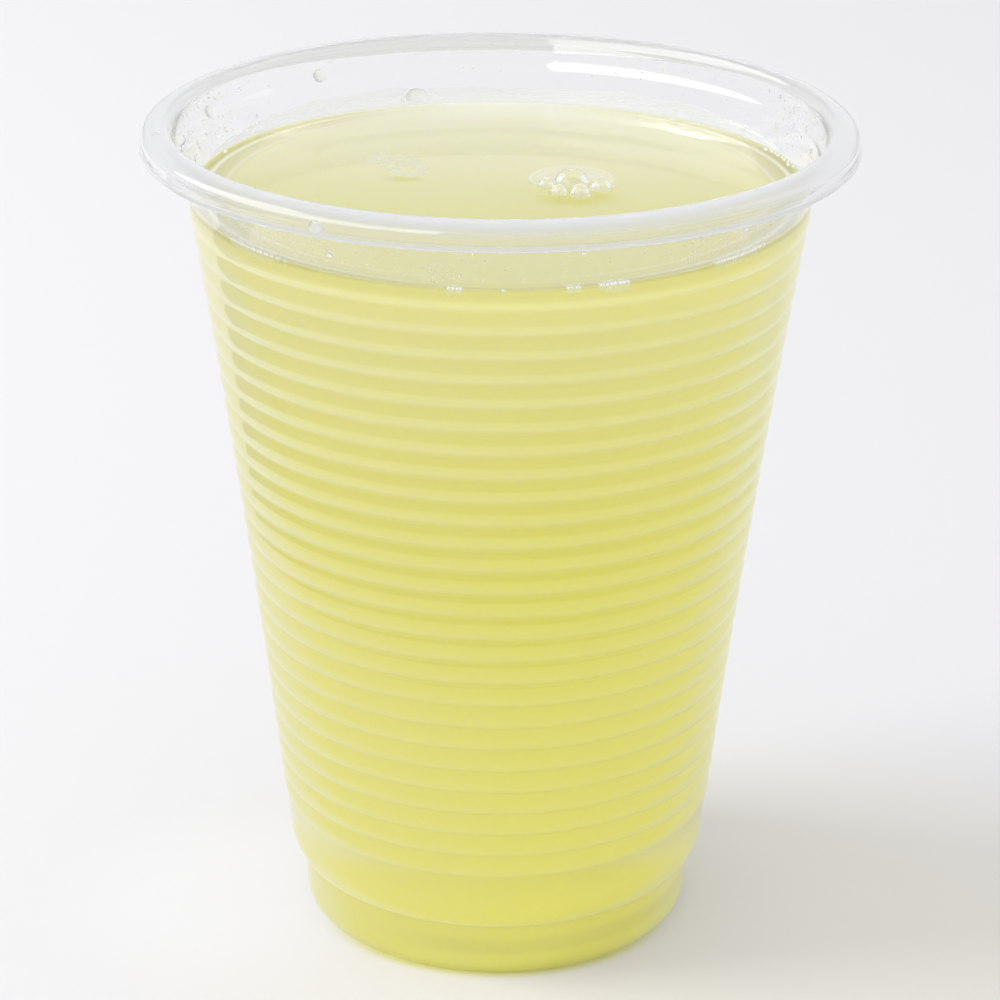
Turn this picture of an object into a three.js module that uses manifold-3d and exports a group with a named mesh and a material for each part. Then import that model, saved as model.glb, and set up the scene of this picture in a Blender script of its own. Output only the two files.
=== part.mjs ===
// Lemonade in a thin ribbed drinking cup of clear polypropylene.
// Millimetres, +Z up, origin at the centre of the foot, where the cup stands.

import * as THREE from 'three';
import { mergeVertices } from 'three/addons/utils/BufferGeometryUtils.js';
import Module from 'manifold-3d';

const wasm = await Module();
wasm.setup();

// Whole cup
const SIDES = 32;
const CUP_HEIGHT = 90;
const RIM_RADIUS = 37.5;
const WALL = 0.5;

// Foot and the raised floor inside it
const CONTACT_RADIUS = 20.4;
const FOOT_RADIUS = 21.5;
const FOOT_HEIGHT = 6.3;
const FOOT_EDGE = 1.8;
const FOOT_TAPER = 0.1;
const FOOT_ROUND_OUT = 0.65;
const FOOT_ROUND_UP = 0.5;
const FLOOR_RADIUS = 18.0;
const FLOOR_RISE = 3.2;
const FLOOR_FLANK = 1.2;
const STANDING_THICKNESS = 0.6;

// Shoulder that swells from the foot to the plain band below the ribs
const SHOULDER_RADIUS = 23.25;
const SHOULDER_TOP = 10.2;
const SHOULDER_STEPS = 4;

// Ribs pressed into the wall
const RIB_COUNT = 26;
const RIB_TOP = 82.4;
const RIB_BOTTOM = 13.3;
const RIB_TOP_RADIUS = 32.5;
const RIB_BOTTOM_RADIUS = 23.5;
const WALL_SAG = 0.4;
const RIB_SWELL = 0.22;
const RIB_CREST = 0.45;

// Plain flared band above the ribs and the rolled rim
const FLARE_TOP = 88.3;
const FLARE_TOP_RADIUS = 34.35;
const CREST_RADIUS = 35.05;
const INNER_EDGE_RADIUS = 34.4;
const INNER_EDGE_HEIGHT = 89.7;
const ROLL_HEIGHT = 1.25;
const ROLL_STEP = Math.PI / 6;
const LIP_HEIGHT = 87.35;
const LIP_THICKNESS = 0.55;
const SKIRT_FLARE = 0.2;

// Drink
const DRINK_LEVEL = 82.5;
const GAP = 0.3;

// Bubbles that float together on the drink: place across and back, radius of each dome
const BUBBLES = [
  { x: 7.6, y: 1.6, radius: 1.5 },
  { x: 4.7, y: 1.2, radius: 0.8 },
  { x: 5.7, y: -0.6, radius: 0.8 },
  { x: 8.1, y: -0.8, radius: 0.75 },
  { x: 10.1, y: 1.2, radius: 0.8 },
  { x: 11.4, y: 2.0, radius: 0.65 },
];
const BUBBLE_SINK = 0.15;
const BUBBLE_FLATTENING = 0.8;

// Corners closer than this are one corner.
const SAME_PLACE = 1e-4;

// Radius of the ribbed wall's grooves at a height: a cone that sags slightly towards the axis.
function grooveRadius(height) {
  const up = (height - RIB_BOTTOM) / (RIB_TOP - RIB_BOTTOM);
  const cone = RIB_BOTTOM_RADIUS + up * (RIB_TOP_RADIUS - RIB_BOTTOM_RADIUS);
  return cone - WALL_SAG * 4 * up * (1 - up);
}

// Foot, seen from outside: rounded where it stands, upright above, with a step under the shoulder.
function footOutline() {
  return [
    [CONTACT_RADIUS, 0],
    [CONTACT_RADIUS + FOOT_ROUND_OUT, FOOT_ROUND_UP],
    [FOOT_RADIUS - FOOT_TAPER, FOOT_EDGE],
    [FOOT_RADIUS, FOOT_HEIGHT - FOOT_TAPER],
  ];
}

// Quarter of an ellipse from the step at the foot out to the shoulder.
function shoulderOutline() {
  const points = [];
  const start = FOOT_RADIUS + FOOT_TAPER;
  const run = SHOULDER_RADIUS - start;
  const rise = SHOULDER_TOP - FOOT_HEIGHT;
  for (let step = 0; step <= SHOULDER_STEPS; step += 1) {
    const angle = (step / SHOULDER_STEPS) * (Math.PI / 2);
    const radius = start + run * Math.sin(angle);
    const height = FOOT_HEIGHT + rise * (1 - Math.cos(angle));
    points.push([radius, height]);
  }
  return points;
}

// Ribs, from the lowest up: each has its groove below and is fullest some way under its upper edge.
function ribOutline() {
  const pitch = (RIB_TOP - RIB_BOTTOM) / RIB_COUNT;
  const points = [];
  for (let rib = 0; rib < RIB_COUNT; rib += 1) {
    const groove = RIB_BOTTOM + rib * pitch;
    const crest = groove + pitch * (1 - RIB_CREST);
    points.push([grooveRadius(groove), groove]);
    points.push([grooveRadius(crest) + RIB_SWELL, crest]);
  }
  return points;
}

// The whole outside of the wall, from where the foot stands to where the flare meets the rim.
function wallOutline() {
  return [
    ...footOutline(),
    ...shoulderOutline(),
    ...ribOutline(),
    [RIB_TOP_RADIUS, RIB_TOP],
    [FLARE_TOP_RADIUS, FLARE_TOP],
  ];
}

// Roll of the rim, from its outer side up towards the crest, a given distance under its surface.
function rollOutline(depth, steps) {
  const width = RIM_RADIUS - SKIRT_FLARE - CREST_RADIUS - depth;
  const points = [];
  for (let step = 0; step <= steps; step += 1) {
    const angle = step * ROLL_STEP;
    const radius = CREST_RADIUS + width * Math.cos(angle);
    const height = CUP_HEIGHT - ROLL_HEIGHT + (ROLL_HEIGHT - depth) * Math.sin(angle);
    points.push([radius, height]);
  }
  return points;
}

// Rim: the wall rolls outwards over a crest and hangs down as a lip, open underneath.
function rimOutline() {
  return [
    ...rollOutline(WALL, 2).reverse(),
    [RIM_RADIUS - LIP_THICKNESS, LIP_HEIGHT],
    [RIM_RADIUS, LIP_HEIGHT],
    [RIM_RADIUS, LIP_HEIGHT + LIP_THICKNESS],
    ...rollOutline(0, 3),
    [INNER_EDGE_RADIUS, INNER_EDGE_HEIGHT],
  ];
}

// Underside of the raised floor, from the axis out to where the foot stands.
function underside() {
  return [
    [0, FLOOR_RISE],
    [FLOOR_RADIUS, FLOOR_RISE],
    [FLOOR_RADIUS + FLOOR_FLANK, 0],
  ];
}

// Inside of the cup below the wall: the channel over the foot and the top of the floor.
function insideOfFoot() {
  return [
    [FOOT_RADIUS - FOOT_TAPER - WALL, FOOT_EDGE],
    [CONTACT_RADIUS - FOOT_TAPER, STANDING_THICKNESS],
    [FLOOR_RADIUS + FLOOR_FLANK + WALL, STANDING_THICKNESS],
    [FLOOR_RADIUS + WALL, FLOOR_RISE + WALL],
    [0, FLOOR_RISE + WALL],
  ];
}

function inward(points, distance) {
  return points.map(([radius, height]) => [radius - distance, height]);
}

// A solid of revolution about +Z, as one closed mesh without doubled points or empty triangles.
function turn(profile) {
  const points = profile.map(([radius, height]) => new THREE.Vector2(radius, height));
  const lathe = new THREE.LatheGeometry(points, SIDES);
  lathe.rotateX(Math.PI / 2);
  return weld(lathe);
}

function weld(geometry) {
  const bare = geometry.index ? geometry.toNonIndexed() : geometry;
  bare.deleteAttribute('normal');
  bare.deleteAttribute('uv');
  const merged = mergeVertices(bare, SAME_PLACE);
  const corners = merged.index.array;
  const kept = [];
  for (let at = 0; at < corners.length; at += 3) {
    const [a, b, c] = corners.slice(at, at + 3);
    if (a !== b && b !== c && c !== a) {
      kept.push(a, b, c);
    }
  }
  merged.setIndex(kept);
  return merged;
}

function toSolid(geometry) {
  const mesh = new wasm.Mesh({
    numProp: 3,
    vertProperties: new Float32Array(geometry.attributes.position.array),
    triVerts: new Uint32Array(geometry.index.array),
  });
  return new wasm.Manifold(mesh);
}

function toGeometry(solid) {
  const mesh = solid.getMesh();
  const geometry = new THREE.BufferGeometry();
  geometry.setAttribute('position', new THREE.BufferAttribute(mesh.vertProperties, 3));
  geometry.setIndex(new THREE.BufferAttribute(mesh.triVerts, 1));
  return geometry;
}

function cupGeometry() {
  const outside = wallOutline();
  const aboveFoot = outside.slice(footOutline().length - 1);
  const inside = inward(aboveFoot, WALL).reverse();
  return turn([...underside(), ...outside, ...rimOutline(), ...inside, ...insideOfFoot()]);
}

// Underside of the drink: over the raised floor and down into the channel round it.
function drinkUnderside() {
  const clear = WALL + GAP;
  return [
    [0, FLOOR_RISE + clear],
    [FLOOR_RADIUS + clear, FLOOR_RISE + clear],
    [FLOOR_RADIUS + FLOOR_FLANK + clear, STANDING_THICKNESS + GAP],
    [FOOT_RADIUS - FOOT_TAPER - clear, FOOT_EDGE + GAP],
  ];
}

// The drink fills the cup up to its level, a small gap clear of the wall and floor all round.
function drinkGeometry() {
  const wall = [...footOutline().slice(-1), ...shoulderOutline(), ...ribOutline()];
  const side = inward(wall, WALL + GAP);
  const surface = [
    [RIB_TOP_RADIUS - WALL - GAP, DRINK_LEVEL],
    [0, DRINK_LEVEL],
  ];
  let drink = toSolid(turn([...drinkUnderside(), ...side, ...surface]));
  for (const bubble of BUBBLES) {
    drink = drink.add(bubbleSolid(bubble));
  }
  return toGeometry(drink);
}

// A floating bubble: a low dome that stands out of the drink.
function bubbleSolid({ x, y, radius }) {
  const ball = new THREE.IcosahedronGeometry(radius, 1);
  ball.scale(1, 1, BUBBLE_FLATTENING);
  ball.translate(x, y, DRINK_LEVEL - BUBBLE_SINK);
  return toSolid(weld(ball));
}

const clearPlastic = new THREE.MeshStandardMaterial({
  color: 0xf1f3ee,
  roughness: 0.12,
  metalness: 0,
  transparent: true,
  opacity: 0.35,
});

const cloudyLemonade = new THREE.MeshStandardMaterial({
  color: 0xe4dc8a,
  roughness: 0.08,
  metalness: 0,
});

const cup = new THREE.Mesh(cupGeometry(), clearPlastic);
cup.name = 'cup';

const lemonade = new THREE.Mesh(drinkGeometry(), cloudyLemonade);
lemonade.name = 'lemonade';

const drinkInCup = new THREE.Group();
drinkInCup.add(cup, lemonade);

export default drinkInCup;
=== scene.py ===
import math
import random

import bpy
from mathutils import Matrix, Vector


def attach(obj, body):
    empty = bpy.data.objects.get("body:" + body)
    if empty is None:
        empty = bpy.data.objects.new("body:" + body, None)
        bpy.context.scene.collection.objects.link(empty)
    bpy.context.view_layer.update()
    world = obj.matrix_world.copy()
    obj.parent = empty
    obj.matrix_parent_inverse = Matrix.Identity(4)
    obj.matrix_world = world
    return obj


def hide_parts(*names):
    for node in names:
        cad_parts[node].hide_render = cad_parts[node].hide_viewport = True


# Lemonade in a thin ribbed drinking cup. Sizes are in millimetres and MM turns them to metres.
# +Z is up, and the origin is at the centre of the foot, where the cup stands. Directions round
# the cup are in degrees: 0 is to the right, 90 behind and -90 in front.
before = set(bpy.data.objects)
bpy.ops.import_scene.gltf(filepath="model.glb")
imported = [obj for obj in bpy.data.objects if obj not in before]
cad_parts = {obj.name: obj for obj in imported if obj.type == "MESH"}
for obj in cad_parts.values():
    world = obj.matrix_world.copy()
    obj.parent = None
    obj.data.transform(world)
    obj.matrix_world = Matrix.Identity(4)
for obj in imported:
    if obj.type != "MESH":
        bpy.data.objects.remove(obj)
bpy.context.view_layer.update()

MM = 0.001
BODY = "root"
random.seed(7)

# Whole cup, how finely it is turned, and how near the axis counts as on it
SIDES = 224
ON_AXIS = 1e-6
CUP_HEIGHT = 90.0
RIM_RADIUS = 37.5
WALL = 0.5

# Foot: its rounded edge, and points above that as radius less than the foot's own, and height
CONTACT_RADIUS = 20.4
FOOT_RADIUS = 21.5
FOOT_HEIGHT = 6.3
FOOT_EDGE = 1.8
FOOT_TAPER = 0.1
FOOT_STEPS = 6
FOOT_UPPER = ((0.05, 4.2), (0.0, 5.95), (0.03, 6.18))

# Raised floor, and its underside as radius and height from the axis to where the foot stands
FLOOR_RADIUS = 18.0
FLOOR_RISE = 3.2
FLOOR_FLANK = 1.2
STANDING_THICKNESS = 0.6
UNDERSIDE = ((0.0, 3.2), (17.7, 3.2), (18.15, 2.9), (19.0, 0.2), (19.25, 0.0))

# Inside of the foot: where the channel's side bends in, its round corner, where its bottom is
# flat, how the floor's edge is rounded, and the height at which the lining of the wall starts
CHANNEL_BEND = 0.1
CHANNEL_BEND_HEIGHT = 1.25
CHANNEL_CORNER = 0.3
CHANNEL_FLAT = 0.7
FLOOR_BEND = 0.35
FLOOR_BEND_DEPTH = 0.7
FLOOR_CORNER = 0.25
LINING_START = 5.9

# Shoulder between the foot and the plain band below the ribs
SHOULDER_RADIUS = 23.25
SHOULDER_TOP = 10.2
SHOULDER_STEPS = 12

# Ribs pressed into the wall. A step is a share of the pitch up from the groove.
RIB_COUNT = 26
RIB_TOP = 82.4
RIB_BOTTOM = 13.3
RIB_PITCH = (RIB_TOP - RIB_BOTTOM) / RIB_COUNT
RIB_TOP_RADIUS = 32.5
RIB_BOTTOM_RADIUS = 23.5
WALL_SAG = 0.4
RIB_SWELL = 0.22
RIB_CREST = 0.45
RIB_LEDGE = 0.07
RIB_STEPS = (0.0, 0.04, 0.12, 0.24, 0.38, 0.55, 0.72, 0.88)
RIB_STEPS_INSIDE = (0.0, 0.55)

# Flared band above the ribs, with the faint ledge that keeps stacked cups apart, and the heights
# at which the band is drawn below and above that ledge
FLARE_TOP = 88.3
FLARE_TOP_RADIUS = 34.35
LEDGE_HEIGHT = 86.25
LEDGE_DEPTH = 0.2
LEDGE_RISE = 1.0
LEDGE_STEPS = 6
FLARE_BELOW = (RIB_TOP, 83.4, 84.6, 85.7)
FLARE_ABOVE = (87.7, FLARE_TOP)

# Rolled rim: its roll, then as radius and height its lip, down the inner side, round the lower
# edge and up the outer side, and the edge of the mouth from the crest down to the flare
CREST_RADIUS = 35.05
ROLL_HEIGHT = 1.25
ROLL_STEPS = 12
ROLL_GAP = 0.08
SKIRT_FLARE = 0.2
LIP = (
    (36.97, 88.1),
    (36.92, 87.75),
    (36.95, 87.49),
    (37.07, 87.35),
    (37.34, 87.35),
    (37.48, 87.49),
    (37.5, 87.71),
    (37.44, 87.9),
    (37.38, 88.15),
)
MOUTH_EDGE = ((34.72, 89.92), (34.45, 89.7), (34.28, 89.4), (34.1, 88.95))

# Drink: its level, the tilt it stands at, its edge on the wall, how far it reaches into the wall,
# and how far under its level the ribbed side ends
DRINK_LEVEL = 82.4
TILT = 0.35
EDGE_CLIMB = 0.2
EDGE_SWAY = 0.25
CLIMB_REACH = 1.4
INTO_WALL = 0.12
DEEPER_AT_FOOT = 3.0
SURFACE_STEP = 0.22
BRIM = 0.06
SIDE_END = 0.7

# Bubbles that float together: place across and back, radius, and height over radius
BUBBLES = (
    (7.5, 1.0, 1.85, 0.82),
    (4.8, -0.5, 0.9, 1.1),
    (6.1, -2.8, 0.9, 1.1),
    (8.3, -3.2, 1.1, 1.05),
    (10.5, -1.2, 1.15, 1.0),
)

# Film of the floating bubbles, thicker at its foot, the dent in the drink under each, the collar
# of drink round them and the share of it at which they sit. A mesh is its rings and its sides.
FILM = 0.08
FOOT_OF_FILM = 1.2
FILM_THICKENING = 4
DENT = 0.22
COLLAR = 0.34
COLLAR_REACH = 1.5
BUBBLE_SEAT = 0.8
BUBBLE_LEVEL = DRINK_LEVEL + COLLAR * BUBBLE_SEAT
DOME_MESH = (12, 40)
UPRIGHT = (0.0, 0.0, 1.0)

# Froth patch, as low domes that run together
FROTH = (
    (-13.6, 10.3, 0.8),
    (-12.8, 11.2, 0.8),
    (-12.2, 10.1, 0.8),
    (-13.3, 9.0, 0.75),
    (-12.3, 8.7, 0.6),
    (-14.1, 8.4, 0.5),
    (-12.1, 6.5, 0.55),
    (-11.1, 10.2, 0.85),
    (-10.2, 9.9, 0.9),
    (-9.3, 9.2, 0.9),
    (-8.6, 8.0, 0.8),
    (-8.3, 6.6, 0.7),
    (-10.9, 8.6, 0.7),
    (-10.0, 8.1, 0.7),
    (-9.3, 7.3, 0.6),
    (-11.2, 5.2, 0.55),
    (-10.5, 4.5, 0.65),
    (-9.6, 4.2, 0.75),
    (-8.8, 4.9, 0.7),
    (-11.7, 3.5, 0.3),
    (-10.9, 6.3, 0.4),
)
FROTH_HEIGHT = 0.42
FROTH_SPREAD = 1.3
FROTH_MESH = (7, 22)

# Share of its height by which the foot of a small body lies under the surface that it sits on
SUNK = 0.2

# Drops that hang on the inside of the wall: direction, height, radius
DROPS = (
    (159.7, 87.1, 0.72),
    (158.1, 88.6, 0.32),
    (163.7, 88.7, 0.26),
    (175.5, 86.8, 0.32),
    (-179.6, 86.6, 0.36),
    (171.9, 86.75, 0.26),
    (163.5, 88.1, 0.2),
    (169.0, 85.2, 0.22),
    (168.8, 84.6, 0.24),
    (163.5, 85.3, 0.24),
    (147.7, 87.9, 0.22),
    (144.9, 84.65, 0.26),
    (147.9, 83.5, 0.3),
    (109.9, 83.4, 0.34),
    (127.2, 87.1, 0.75),
    (173.3, 84.1, 0.34),
    (21.4, 87.0, 0.36),
    (13.6, 87.1, 0.32),
    (12.4, 86.7, 0.3),
    (13.7, 85.8, 0.28),
    (5.9, 85.6, 0.36),
    (9.0, 88.3, 0.22),
    (13.1, 88.0, 0.22),
    (26.6, 88.2, 0.26),
    (30.4, 88.3, 0.22),
    (1.2, 87.8, 0.34),
    (-120.3, 84.2, 0.32),
    (-76.0, 85.8, 0.2),
    (-43.0, 85.3, 0.4),
)
DROP_HEIGHT = 0.28
DROP_STRETCH = 1.15
DROP_MESH = (6, 24)

# Broad drop on the far wall: direction, height, radius, and width over height
BROAD_DROP = (107.2, 83.7, 0.85, 1.5)
BROAD_DROP_MESH = (6, 32)

# Drops on the outside of the rim: direction, radius from the axis, height and drop radius
RIM_DROPS = (
    (-169.8, 35.9, 89.83, 0.55),
    (-118.0, 37.22, 88.35, 0.7),
    (-178.0, 36.6, 89.35, 0.22),
    (-163.0, 36.9, 89.1, 0.2),
    (-128.0, 35.6, 89.9, 0.18),
    (8.0, 36.2, 89.7, 0.24),
)
RIM_DROP_STRETCH = 1.2

# Bubbles along the edge of the drink: direction, radius
EDGE_BUBBLES = (
    (159.6, 0.34),
    (24.6, 0.36),
    (22.9, 0.28),
    (21.4, 0.26),
    (19.9, 0.3),
    (18.4, 0.24),
    (16.9, 0.28),
    (15.4, 0.22),
    (13.8, 0.34),
    (12.0, 0.26),
    (-145.6, 0.24),
    (-144.6, 0.34),
    (-143.4, 0.3),
    (-142.1, 0.42),
    (-140.6, 0.36),
    (-139.0, 0.46),
    (-137.2, 0.44),
    (-135.4, 0.38),
    (-134.0, 0.3),
    (-132.4, 0.24),
    (-130.6, 0.2),
    (-98.4, 0.4),
    (-97.0, 0.34),
    (-89.4, 0.16),
    (-77.9, 0.36),
    (-76.5, 0.3),
    (-72.2, 0.3),
    (-70.9, 0.42),
    (-69.4, 0.5),
    (-67.8, 0.46),
    (-48.6, 0.3),
    (-47.3, 0.38),
    (-45.9, 0.34),
    (-44.5, 0.42),
    (-43.1, 0.36),
    (-41.8, 0.42),
    (-40.3, 0.36),
    (-38.8, 0.42),
    (-37.2, 0.34),
    (-35.6, 0.26),
)

# How the edge bubbles are pressed to the wall, grown, flattened and sunk in the drink
EDGE_PRESS = 0.3
EDGE_GROWTH = 1.5
BEAD_FLATTENING = 0.92
BEAD_SINK = 0.55
BEAD_MESH = (10, 18)

# Painted glints, white spots on the edge bubbles: where round each, how high up, and each spot's
# own radius, bulge and distance from the middle as shares of the bubble's radius
GLINT_TURNS = (-27, 27, 153, 207)
GLINT_LIFT = 0.85
GLINT_SIZE = 0.33
GLINT_BULGE = 0.12
GLINT_SEAT = 0.97
GLINT_MESH = (3, 12)

# Painted glints on the floating bubbles, in the same way, with how high up they sit in degrees
DOME_GLINTS = (-142.0, -38.0)
DOME_GLINT_UP = 28.0
DOME_GLINT_SIZE = 0.24
DOME_GLINT_BULGE = 0.05
DOME_GLINT_SEAT = 0.99
DOME_GLINT_MESH = (3, 14)

# Fine mist of condensed drops on the inside of the wall: count, span round, heights, radii
MIST = (
    (150, 152, 183, 84.2, 88.6, 0.06, 0.15),
    (120, -3, 26, 84.2, 88.6, 0.06, 0.15),
    (50, 26, 152, 85.4, 88.4, 0.05, 0.11),
    (240, -153, -120, 83.0, 86.8, 0.06, 0.13),
    (170, -60, -28, 83.0, 86.8, 0.06, 0.13),
    (34, -102.5, -96.5, 82.5, 84.7, 0.07, 0.13),
    (60, -120, -60, 82.7, 86.0, 0.06, 0.12),
)
MIST_HEIGHT = 0.35
MIST_MESH = (2, 7)

# Wet band that the drink left on the far wall: the directions it spans, how far up it reaches,
# how quickly it is full at its ends, and the waves of its ragged top as turns, size and start
BAND_START = 12.0
BAND_END = 168.0
BAND_HIGH = 1.7
BAND_FULLNESS = 1.6
BAND_WAVES = ((7, 0.14, 0), (23, 0.1, 40), (61, 0.05, 90))
BAND_THICKNESS = 0.04
BAND_INTO_WALL = 0.03
BAND_SHARES = (0.0, 0.25, 0.5, 0.75, 0.92, 0.98, 1.0)
BAND_COLUMNS = 132
BAND_LAP = 0.3

# Camera, as fitted to the cup's circles in the photograph
CAMERA_PLACE = (0.0, -335.92, 185.02)
CAMERA_PITCH = -22.339
CAMERA_YAW = -0.032
CAMERA_ROLL = 0.39
LENS = 120.09
SENSOR = 36.0
NEAREST = 10.0

# Clearness of the plastic: of the wall, of the rolled rim, and the haze where it is seen aslant
PLASTIC_CLEAR = 0.955
PLASTIC_MILKY = 0.62
SLANT_SPAN = (0.41, 0.66)
SLANT_HAZE = 0.13
PLASTIC_TINT = "#fbfbfb"
MILKY_TINT = "#eeefec"

# Where the plastic is milky: heights at which the roll begins, and the lip's heights and radius
ROLL_MILKY = (88.7, 89.2)
LIP_MILKY = (88.05, 87.8)
LIP_MILKY_RADIUS = 36.3

# Waves in a millimetre of the sheet, which is one in some 8 mm, and lines in a millimetre across
# the rolled rim. The lines of a real rim are too fine to show, so these are drawn coarser.
SHEET_WAVES = 0.12
WAVE_DEPTH = 0.4
WAVE_STRENGTH = 0.04
ROLL_LINES = 1.3
LINE_DEPTH = 0.08
LINE_STRENGTH = 0.35

# Colours of the drink through the wall, how much each cause makes it paler or tints it, and the
# heights or places across over which it does: paler towards the top, painted highlights on each
# rib's flank, stronger at the left, a painted reflection at the left side and painted light at the
# right side. What lies level is seen from above instead.
SIDE_DEEP = "#e9e462"
SIDE_PALE = "#f6f4c8"
SIDE_RISE = 0.42
SIDE_RISE_SPAN = (45.0, 84.0)
RIB_HIGHLIGHT = 0.14
RIB_HIGHLIGHT_LEFT = 0.14
RIB_HIGHLIGHT_SHARE = 0.5
RIB_HIGHLIGHT_START = (12.9, 13.3)
LEFT_REFLECTION_TINT = "#dfdba8"
LEFT_REFLECTION_MOST = 0.27
LEFT_SPAN = (4.0, -26.0)
RIGHT_LIGHT_TINT = "#fffa9c"
RIGHT_LIGHT_MOST = 0.3
RIGHT_SPAN = (10.0, 31.0)
BOUNCE_TINT = "#f4f3e4"
LEVEL_SPAN = (0.45, 0.7)

# Painted shades through the wall, as height and strength: contact shade at the edge that it stands
# on, the raised floor inside with the shade under it, which shows from near the middle to the
# right, and shade just under the brim
SIDE_TOP = 84.0
OLIVE_SHADE = "#b9b357"
EDGE_SHADE = ((0.0, 0.3), (0.5, 0.2), (0.9, 0.0))
FLOOR_SHADE = ((2.2, 0.0), (3.0, 0.22), (3.9, 0.22), (4.8, 0.0))
FLOOR_SHADE_SPAN = (-15.0, -3.0)
BRIM_SHADE_TINT = "#b3ae74"
BRIM_SHADE = ((80.5, 0.0), (81.2, 0.22), (81.85, 0.34), (82.0, 0.8), (83.5, 0.8))

# Colours of the drink from above, from front to back, paler towards the back with painted light and
# reflection
TOP_LIGHT_TINTS = (
    (-28.0, "#dcd882"),
    (-10.0, "#dfdc91"),
    (3.0, "#e4e2a7"),
    (11.0, "#e8e7b8"),
    (17.0, "#e8e7ba"),
    (24.0, "#eae8c3"),
    (28.5, "#eff0d6"),
    (32.0, "#f2f4e2"),
)

# Painted rings by the wall, as radius and strength: rings of painted shade and pale lines of painted
# reflection of the wall and rim at both sides, and one deeper ring in front, with its radii, its
# strength and the places over which it comes in
RING_SPAN = (24.0, 34.0)
RING_SHADE_TINT = "#bcb98a"
RING_SHADES = ((28.0, 0.0), (28.4, 0.12), (29.4, 0.3), (30.2, 0.45), (31.3, 1.0))
RING_REFLECTION_TINT = "#f2f2e0"
RING_REFLECTIONS = ((28.5, 0), (28.9, 0.45), (29.3, 0), (30.4, 0), (30.85, 0.85), (31.3, 0))
RING_FRONT = (31.2, 32.2)
RING_FRONT_TINT = "#bdb878"
RING_FRONT_MOST = 0.8
RING_FRONT_SPAN = (-4.0, -20.0)

# Patches on the drink, as place and size: the painted reflection on the collar behind the bubbles,
# and painted shadows before them and by the froth. The core is the share of the size within which
# a patch is full.
COLLAR_REFLECTION_TINT = "#efeed6"
COLLAR_PATCH = (7.5, 3.1, 4.55, 4.8)
COLLAR_REFLECTION_BANDS = ((0.0, 0.6), (0.75, 0.6), (0.88, 0.25), (0.94, 0.9), (0.97, 0.9), (1.0, 0.0))
COLLAR_SPAN = (-0.5, 1.5)
DRINK_SHADOW_TINT = "#d9d57c"
DRINK_SHADOWS = ((7.8, -4.0, 5.2, 3.4), (-10.2, 2.7, 2.7, 1.3))
DRINK_SHADOW_CORE = 0.35
DRINK_SHADOW_MOST = 0.8

# Painted shade in and round the foot of each floating bubble, over shares of its radius
UNDER_BUBBLE_SHADE = "#d2ce78"
UNDER_SPAN = (1.45, 0.8)
UNDER_MOST = 0.8

# How far red, green and blue light gets into the drink, as shares of a reach in millimetres
LIGHT_REACH = (1.0, 0.95, 0.5)
LIGHT_SCALE = 4.0

# Looks of the clear things: tint, cloudiness, roughness, and the heights over which the cloud
# fades. The cloud drifts by some 6 mm, between a least and a most share of the cloudiness.
NO_FADE = (100.0, 101.0)
DROP_LOOK = ("#fbfcf8", 0.3, 0.0, NO_FADE)
MIST_LOOK = ("#f7f6dc", 0.5, 0.05, NO_FADE)
BUBBLE_LOOK = ("#fcfcec", 0.42, 0.0, (82.6, 84.4))
EDGE_BUBBLE_LOOK = ("#fbfbee", 0.25, 0.0, NO_FADE)
GLINT_LOOK = ("#ffffff", 0.8, 0.05, NO_FADE)
WET_LOOK = ("#fcfdf9", 0.75, 0.25, (82.9, 84.3))
CLOUDS = 0.16
CLOUD_LEAST = 0.75
CLOUD_MOST = 1.25

# Froth: its colour, and its fine bubbles, of which some five fit in 2 mm
FROTH_TINT = "#e9e8c6"
FROTH_CELLS = 2.6
FROTH_CELL_DEPTH = 0.1
FROTH_CELL_STRENGTH = 0.35

# Floor: its size, its two patches of painted light as place and size, warm light in the shadow and
# brighter light at the left of the foot, and the painted yellowish shade at the cup's foot as radii
# and how far to the front. The core is the share of the size within which a patch is full.
FLOOR_HALF = 6000.0
FLOOR_TINT = "#dadada"
FLOOR_CORE = 0.25
SHADOW_TINT = "#dedcd2"
SHADOW_GLOW = (26.0, -14.0, 78.0, 60.0)
LEFT_FLOOR_LIGHT_TINT = "#dedede"
LEFT_FLOOR_LIGHT = (-30.0, -4.0, 24.0, 26.0)
FOOT_SHADE_TINT = "#d2cf6a"
FOOT_SHADE_RING = (22.0, 20.8)
FOOT_SHADE_MOST = 0.8
FOOT_FRONT = (-9.0, -17.0)

# Room light, and the window light that falls on the floor, in metres
ROOM_TINT = "#f6f6fa"
ROOM_STRENGTH = 1.05
KEY_PLACE = (-1.0, 0.02, 0.72)
KEY_AIM = (0.0, 0.0, 0.0)
KEY_SIZE = (0.7, 0.45)
KEY_POWER = 8.7
KEY_TINT = "#fffefc"

# How often light may bounce, so that it finds its way out of the rolled rim
BOUNCES = 16

# Cards that reflections see: edges as radius and height, the directions that each spans, the glow
# of the windows, and the greys of the shade card by direction
CARD_STEPS = 60
WINDOW_LOW = (900.0, 430.0)
WINDOW_HIGH = (700.0, 1100.0)
WINDOW_SPAN = (140.0, 250.0)
WINDOW_GLOW = 5.0
WINDOW_RIGHT_SPAN = (10.0, 32.0)
WINDOW_RIGHT_GLOW = 1.8
SHADE_INNER = (140.0, 1.0)
SHADE_OUTER = (900.0, 1.0)
SHADE_SPAN = (-214.0, 45.0)
HALF_TURN = 180.0
CARD_GREYS = (
    (-180.0, 0.14),
    (-140.0, 0.01),
    (-70.0, 0.005),
    (-25.0, 0.2),
    (15.0, 0.55),
    (45.0, 0.72),
    (140.0, 0.32),
    (180.0, 0.14),
)


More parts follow.
